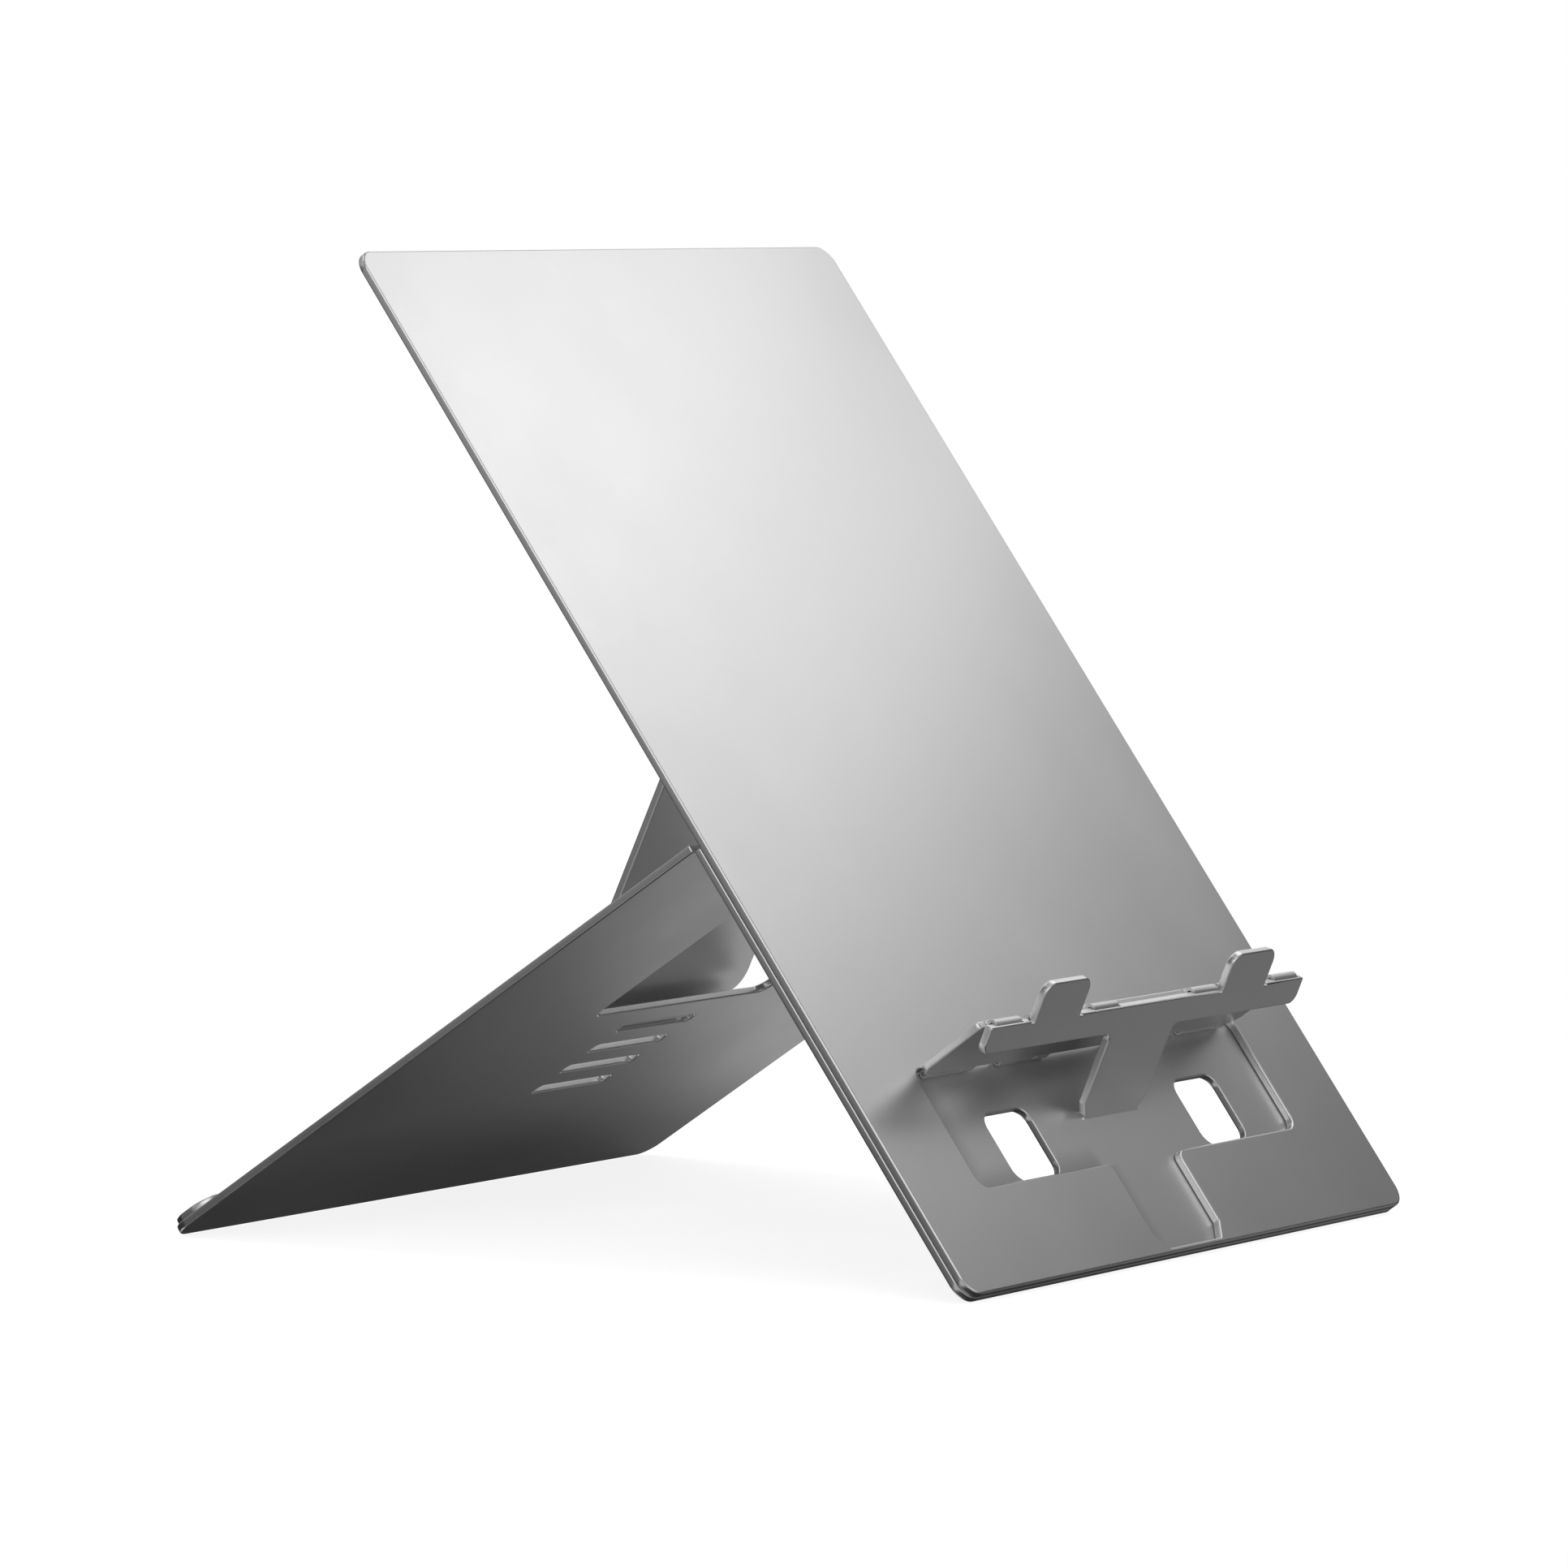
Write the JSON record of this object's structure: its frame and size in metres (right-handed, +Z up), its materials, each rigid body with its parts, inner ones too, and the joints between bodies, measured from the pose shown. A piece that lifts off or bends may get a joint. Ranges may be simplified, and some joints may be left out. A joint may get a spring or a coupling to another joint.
{
  "type": "tablet stand",
  "caption": "Folding sheet-aluminium stand: flat front panel, hinged rear leg with a slotted strut, and a fold-out ledge with a finger stop for a tablet.",
  "frame": {"origin": "on the table, in the middle of the opened stand's footprint", "axes": "+X across the stand, +Y towards the rear leg, +Z up; the panel's face looks along -Y and up"},
  "size_m": [0.16, 0.1766, 0.184],
  "materials": {
    "alu": "satin, smooth anodised",
    "bond": "thin adhesive film",
    "steel": "fine ground"
  },
  "bodies": {
    "panel": {"front_panel": "alu", "back_panel": "alu", "back_panel_bond": "bond", "panel_ledge_knuckles": "alu", "panel_leg_knuckles": "alu", "strut_anchor": "alu", "strut_anchor_bond": "bond", "anchor_knuckles": "alu", "ledge_pins": "steel", "leg_pins": "steel", "strut_pin": "steel"},
    "leg": {"leg_panel": "alu", "leg_knuckles": "alu", "foot_strip": "alu", "foot_bond": "bond"},
    "strut": {"strut_panel": "alu", "strut_knuckles": "alu"},
    "ledge": {"ledge_panel": "alu", "ledge_root_knuckles": "alu", "ledge_front_knuckles": "alu", "stop_pins": "steel"},
    "stop": {"stop_panel": "alu", "stop_knuckles": "alu"}
  },
  "joints": [
    {"name": "leg_fold", "type": "hinge", "parent": "panel", "child": "leg", "pos_m": [0, -0.02991, 0.07834], "axis": [1, 0, 0], "range_deg": [0, 87.7]},
    {"name": "strut_fold", "type": "hinge", "parent": "panel", "child": "strut", "pos_m": [0, -0.00304, 0.11543], "axis": [1, 0, 0], "range_deg": [-60.66, 40]},
    {"name": "ledge_fold", "type": "hinge", "parent": "panel", "child": "ledge", "pos_m": [0, -0.06186, 0.03697], "axis": [1, 0, 0], "range_deg": [0, 86]},
    {"name": "stop_fold", "type": "hinge", "parent": "ledge", "child": "stop", "pos_m": [0, -0.07662, 0.04661], "axis": [1, 0, 0], "range_deg": [-145, 0]}
  ],
  "couplings": [
    {"joint": "stop_fold", "follows": "ledge_fold", "ratio": -1.6821}
  ]
}
